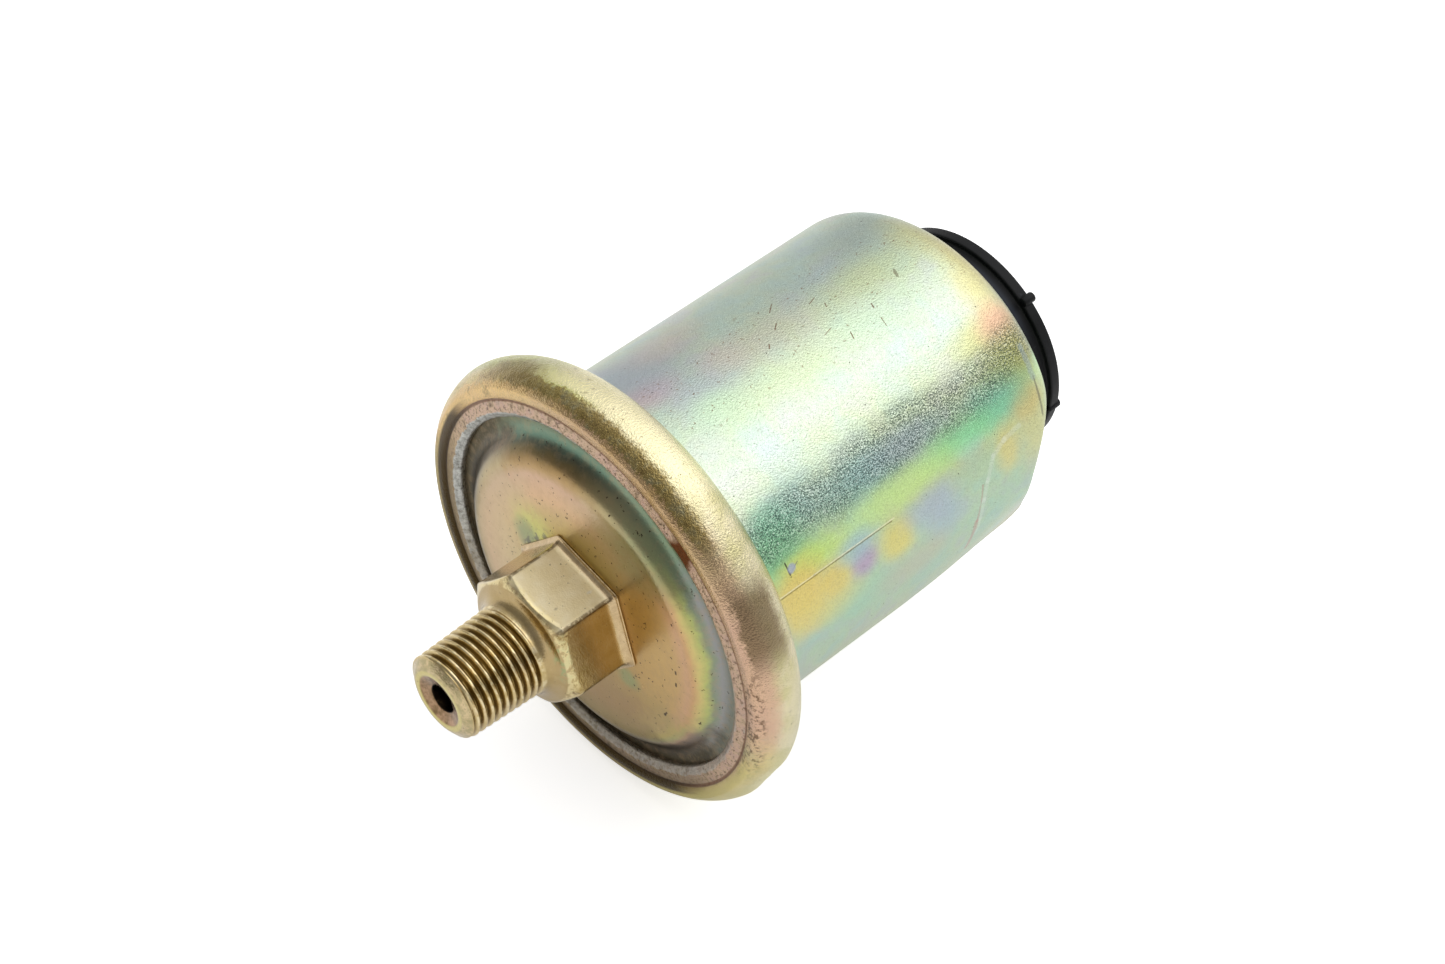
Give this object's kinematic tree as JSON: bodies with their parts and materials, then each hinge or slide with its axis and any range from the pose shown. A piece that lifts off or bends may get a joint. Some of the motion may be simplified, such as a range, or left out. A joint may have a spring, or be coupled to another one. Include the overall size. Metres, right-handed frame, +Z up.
{
  "type": "oil pressure sender",
  "caption": "Oil pressure sender with a tapered pipe fitting, rolled-edge can, insulated terminal and a diaphragm that sweeps a wiper over a resistor.",
  "frame": {"origin": "on the sender's axis at the front face of the hexagon, where the pipe thread's neck starts", "axes": "+X along the axis from the oil hole towards the terminal, +Z up, +Y to the left seen from the oil hole"},
  "size_m": [0.0863, 0.0532, 0.0532],
  "materials": {
    "plated_steel": "yellow zinc with rainbow tints, worn",
    "bright_steel": "plain bright zinc",
    "spring_steel": "bare spring steel",
    "contact_silver": "silver contact",
    "resistance_wire": "dull wound wire",
    "brass": "satin",
    "card": "phenolic board",
    "gasket_rubber": "matt black",
    "cap_plastic": "satin black moulding"
  },
  "bodies": {
    "housing": {"pressure_fitting": "plated_steel", "restrictor": "brass", "base_plate": "plated_steel", "gasket": "gasket_rubber", "diaphragm": "spring_steel", "clamp_ring": "bright_steel", "return_spring": "spring_steel", "bridge_frame": "bright_steel", "pivot_pin": "bright_steel", "resistor_card": "card", "resistor_winding": "resistance_wire", "card_rivets": "bright_steel", "adjuster_screw": "bright_steel", "lead_strip": "brass", "canister": "plated_steel", "inner_insulator": "card", "inner_nut": "brass", "cap_seal": "gasket_rubber", "end_cap": "cap_plastic", "terminal_stud": "brass", "lock_washer": "bright_steel"},
    "plunger": {"push_pin": "bright_steel"},
    "lever": {"rocker": "brass", "wiper_contact": "contact_silver"}
  },
  "joints": [
    {"name": "pin_stroke", "type": "slide", "parent": "housing", "child": "plunger", "axis": [1, 0, 0], "range_m": [0, 0.0016], "stiffness_N_per_m": 500, "springref_m": -0.0005, "deforming": ["return_spring", "diaphragm"]},
    {"name": "lever_sweep", "type": "hinge", "parent": "housing", "child": "lever", "pos_m": [0.0256, 0, -0.0032], "axis": [0, 1, 0], "range_deg": [0, 29]}
  ],
  "couplings": [
    {"joint": "lever_sweep", "follows": "pin_stroke", "rad_per_m": 312.5}
  ]
}
